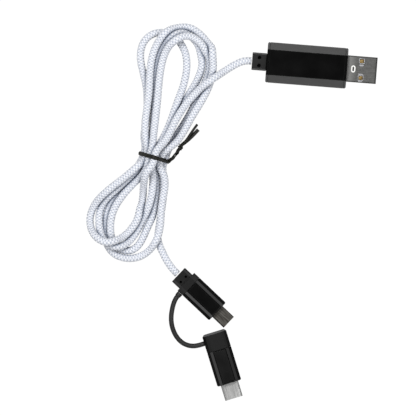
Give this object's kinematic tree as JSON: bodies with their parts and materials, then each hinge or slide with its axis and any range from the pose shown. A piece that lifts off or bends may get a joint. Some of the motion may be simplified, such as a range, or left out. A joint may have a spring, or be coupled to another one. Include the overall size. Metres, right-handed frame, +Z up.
{
  "type": "charging cable with inline usb power meter",
  "caption": "Braided charging cable with a power meter housing at its USB-A plug, a micro-USB plug and a tethered USB-C adapter, folded in a tied hank.",
  "frame": {"origin": "Under the middle of the meter with its collar and USB-A plug, on the surface that the cable lies on.", "axes": "+X points out of the USB-A plug along the meter, +Z points up out of the display window, +Y lies across the meter."},
  "size_m": [0.127, 0.1712, 0.0154],
  "materials": {
    "anodised_housing": "anodised black, satin, with crisp facets",
    "smoked_window": "smoked glossy window, near black",
    "matte_black": "matte moulded black, slightly olive",
    "nickel_shell": "dark nickel plate, brushed along the plug",
    "bright_steel": "bright satin stainless steel",
    "gold_contact": "gold flash on spring contacts",
    "pale_nylon": "natural moulded nylon",
    "black_nylon": "black moulded nylon",
    "circuit_board": "green solder mask",
    "chip_black": "moulded chip package",
    "ceramic_tan": "ceramic capacitor",
    "display_face": "grey display face with unlit segments",
    "copper_crimp": "copper crimp ring",
    "white_braid": "fine white nylon braid with a cool shade",
    "black_rubber": "matte soft rubber",
    "tie_black": "black plastic covered wire tie",
    "wire_red": "red insulation",
    "wire_white": "white insulation",
    "wire_green": "green insulation",
    "wire_black": "black insulation"
  },
  "bodies": {
    "cable": {"meter_shell": "anodised_housing", "rear_cap": "anodised_housing", "front_cap": "anodised_housing", "micro_housing": "anodised_housing", "display_window": "smoked_window", "micro_face_top": "smoked_window", "micro_face_bottom": "smoked_window", "rear_collar": "matte_black", "micro_collar": "matte_black", "usb_a_shell": "nickel_shell", "micro_usb_shell": "nickel_shell", "usb_a_contact_1": "gold_contact", "usb_a_contact_2": "gold_contact", "usb_a_contact_3": "gold_contact", "usb_a_contact_4": "gold_contact", "micro_contacts": "gold_contact", "shell_keeper_ring": "pale_nylon", "usb_a_insulator": "black_nylon", "usb_a_tongue": "black_nylon", "display_frame": "black_nylon", "board_carrier": "black_nylon", "micro_insulator": "black_nylon", "main_board": "circuit_board", "micro_board": "circuit_board", "controller_chip": "chip_black", "voltage_regulator": "chip_black", "shunt_resistor": "chip_black", "input_capacitor": "ceramic_tan", "output_capacitor": "ceramic_tan", "led_display": "display_face", "cord_crimp": "copper_crimp", "micro_crimp": "copper_crimp", "cord_lead": "white_braid", "cord_hank": "white_braid", "cord_tail": "white_braid", "tether_plug_half": "black_rubber", "twist_tie": "tie_black", "core_wire_1": "wire_red", "core_wire_2": "wire_white", "core_wire_3": "wire_green", "core_wire_4": "wire_black"},
    "adapter": {"adapter_collar": "matte_black", "adapter_housing": "anodised_housing", "adapter_face_top": "smoked_window", "adapter_face_bottom": "smoked_window", "socket_shell": "nickel_shell", "socket_tongue": "black_nylon", "socket_contacts": "gold_contact", "adapter_board": "circuit_board", "usb_c_shell": "bright_steel", "usb_c_liner": "black_nylon", "usb_c_contacts_top": "gold_contact", "usb_c_contacts_bottom": "gold_contact", "tether_adapter_half": "black_rubber"},
    "latch_left": {"latch_hook_left": "bright_steel"},
    "latch_right": {"latch_hook_right": "bright_steel"}
  },
  "joints": [
    {"name": "adapter_swing", "type": "hinge", "parent": "cable", "child": "adapter", "pos_m": [-0.0546, -0.1256, 0.0037], "axis": [0, 0, -1], "range_deg": [0, 40]},
    {"name": "latch_left_press", "type": "slide", "parent": "cable", "child": "latch_left", "axis": [0, 0, 1], "range_m": [0, 0.0003], "stiffness_N_per_m": 400},
    {"name": "latch_right_press", "type": "slide", "parent": "cable", "child": "latch_right", "axis": [0, 0, 1], "range_m": [0, 0.0003], "stiffness_N_per_m": 400}
  ]
}
